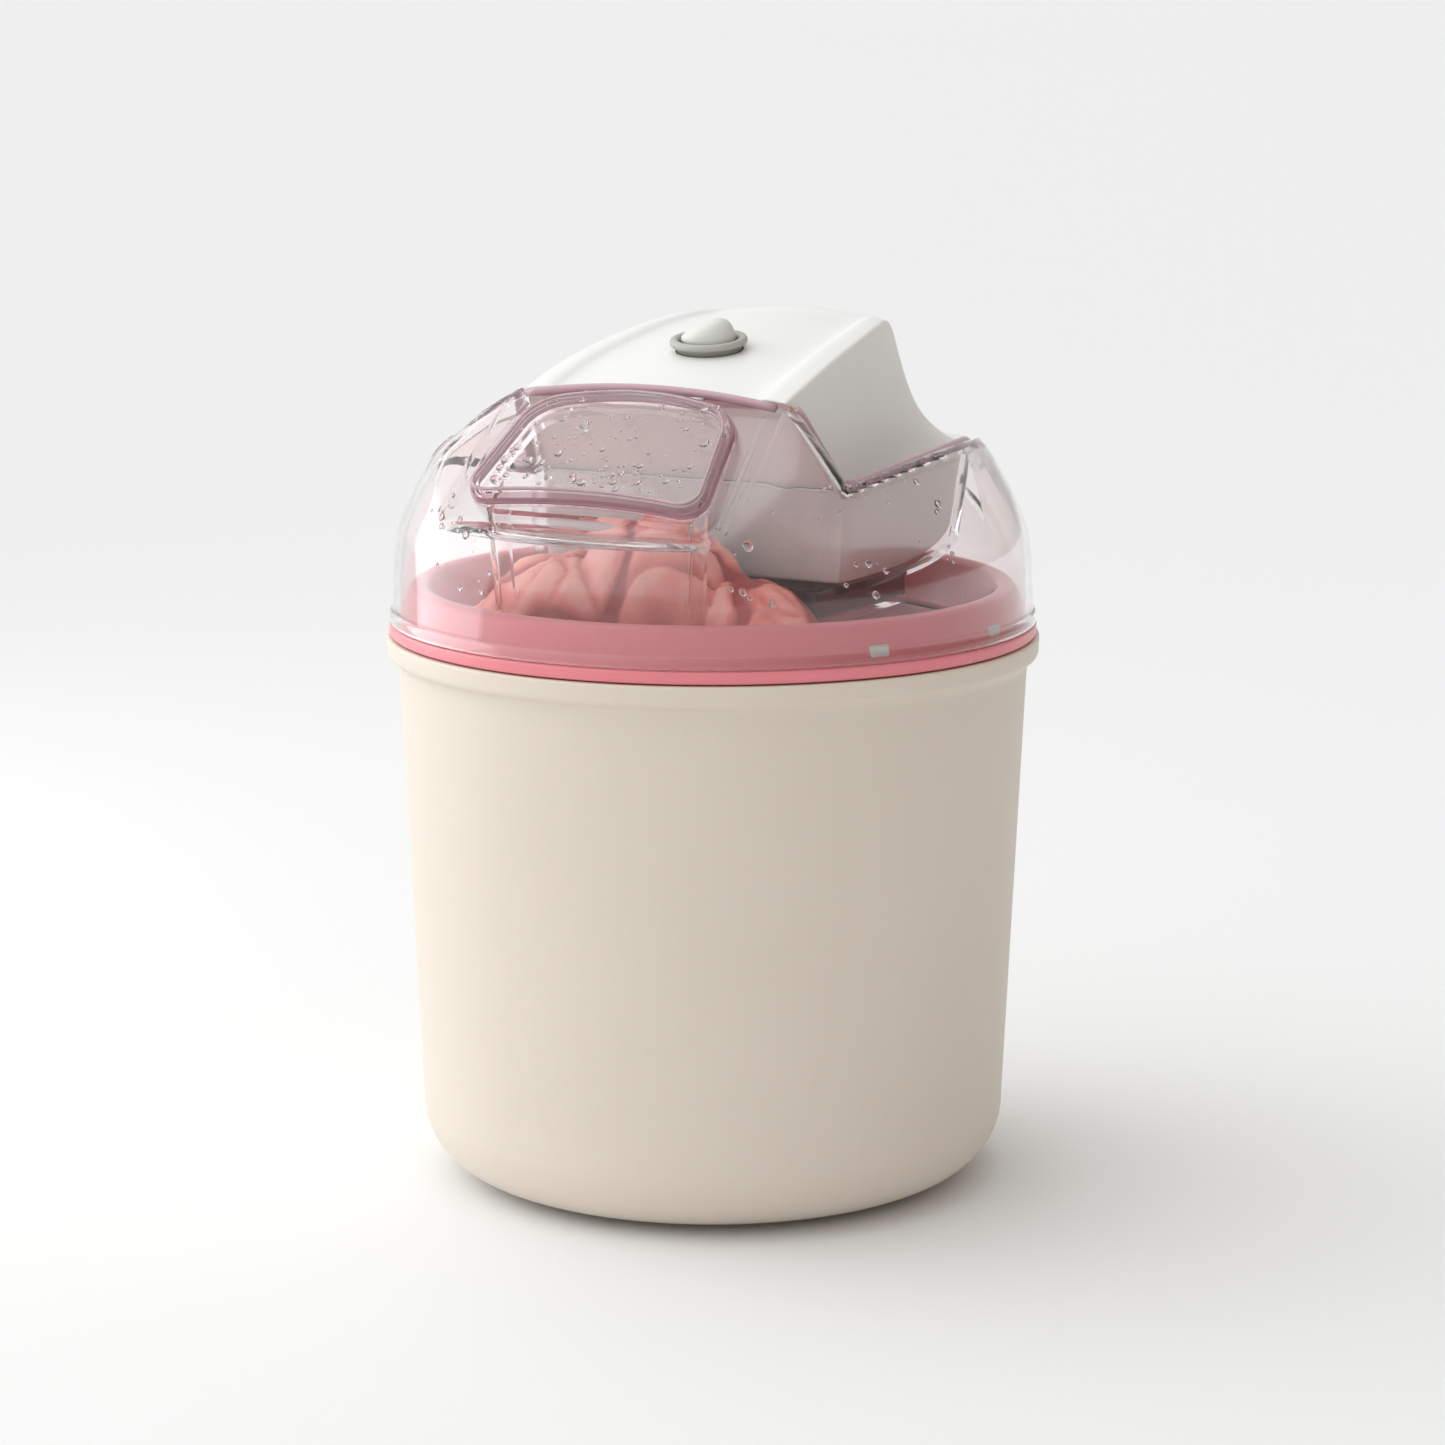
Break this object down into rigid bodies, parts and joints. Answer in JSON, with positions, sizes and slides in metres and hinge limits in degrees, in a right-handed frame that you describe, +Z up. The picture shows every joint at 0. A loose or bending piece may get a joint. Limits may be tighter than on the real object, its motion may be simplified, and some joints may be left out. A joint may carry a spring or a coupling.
{
  "type": "ice cream maker",
  "caption": "Tub-shaped ice cream maker with a lift-out freezer bowl, a turning paddle, a clear domed lid with a filler hatch, and a removable geared motor unit with a rocker switch.",
  "frame": {"origin": "on the ground under the bowl's axis, at the centre of the round tub", "axes": "+Z up along the bowl's axis, front of the machine towards -Y, +X to the right seen from the front"},
  "size_m": [0.216, 0.216, 0.2869],
  "materials": {
    "cream_plastic": "satin moulded",
    "white_plastic": "satin moulded",
    "pink_plastic": "gloss moulded",
    "clear_plastic": "clear, faintly pink, polished",
    "grey_plastic": "satin moulded",
    "rocker_plastic": "satin moulded",
    "dark_plastic": "fine texture",
    "soft_rubber": "matte",
    "coolant": "gel",
    "nylon": "satin",
    "ice_cream": "wet, churned",
    "steel": "turned",
    "brass": "turned"
  },
  "bodies": {
    "housing": {"outer_housing": "cream_plastic", "foot_front_left": "soft_rubber", "foot_front_right": "soft_rubber", "foot_rear_left": "soft_rubber", "foot_rear_right": "soft_rubber"},
    "bowl": {"bowl_outer_shell": "pink_plastic", "bowl_inner_shell": "pink_plastic", "coolant_gel": "coolant", "bowl_seal": "soft_rubber", "bowl_ring": "pink_plastic", "ice_cream": "ice_cream"},
    "paddle_body": {"paddle": "nylon"},
    "lid": {"lid_dome": "clear_plastic", "hatch_pin": "steel"},
    "hatch": {"filler_hatch": "clear_plastic"},
    "motor_unit": {"motor_lower_housing": "white_plastic", "motor_upper_housing": "white_plastic", "housing_screw_front_left": "steel", "housing_screw_front_right": "steel", "housing_screw_rear_left": "steel", "housing_screw_rear_right": "steel", "gearbox_cover": "dark_plastic", "switch_bezel": "grey_plastic", "idler_axle": "steel", "motor_can": "steel", "gear_plate": "steel", "output_bush": "brass", "terminal_block": "dark_plastic", "cord_gland": "grey_plastic"},
    "switch": {"switch_rocker": "rocker_plastic"},
    "output_drive": {"output_gear": "nylon", "drive_socket": "steel"},
    "idler": {"idler_gear": "nylon"},
    "rotor": {"rotor_pinion": "brass", "rotor_shaft": "steel"}
  },
  "joints": [
    {"name": "bowl_lift", "type": "slide", "parent": "housing", "child": "bowl", "axis": [0, 0, 1], "range_m": [0, 0.2]},
    {"name": "paddle_spin", "type": "hinge", "parent": "bowl", "child": "paddle_body", "pos_m": [0, 0, 0.1], "axis": [0, 0, 1], "continuous": true},
    {"name": "lid_lift", "type": "slide", "parent": "bowl", "child": "lid", "axis": [0, 0, 1], "range_m": [0, 0.15]},
    {"name": "hatch_open", "type": "hinge", "parent": "lid", "child": "hatch", "pos_m": [0, -0.04405, 0.26613], "axis": [-1, 0, 0], "range_deg": [0, 95]},
    {"name": "motor_lift", "type": "slide", "parent": "lid", "child": "motor_unit", "axis": [0, 0, 1], "range_m": [0, 0.12]},
    {"name": "switch_rock", "type": "hinge", "parent": "motor_unit", "child": "switch", "pos_m": [0, -0.003, 0.2796], "axis": [0, 0.9781, 0.2079], "range_deg": [0, 12]},
    {"name": "output_spin", "type": "hinge", "parent": "motor_unit", "child": "output_drive", "pos_m": [0, 0, 0.23], "axis": [0, 0, 1], "continuous": true},
    {"name": "idler_spin", "type": "hinge", "parent": "motor_unit", "child": "idler", "pos_m": [0, 0.026, 0.25], "axis": [0, 0, 1], "continuous": true},
    {"name": "rotor_spin", "type": "hinge", "parent": "motor_unit", "child": "rotor", "pos_m": [0, 0.0452, 0.25], "axis": [0, 0, 1], "continuous": true}
  ],
  "couplings": [
    {"joint": "output_spin", "follows": "paddle_spin", "ratio": 1},
    {"joint": "idler_spin", "follows": "paddle_spin", "ratio": -3.3333},
    {"joint": "rotor_spin", "follows": "paddle_spin", "ratio": 10}
  ]
}
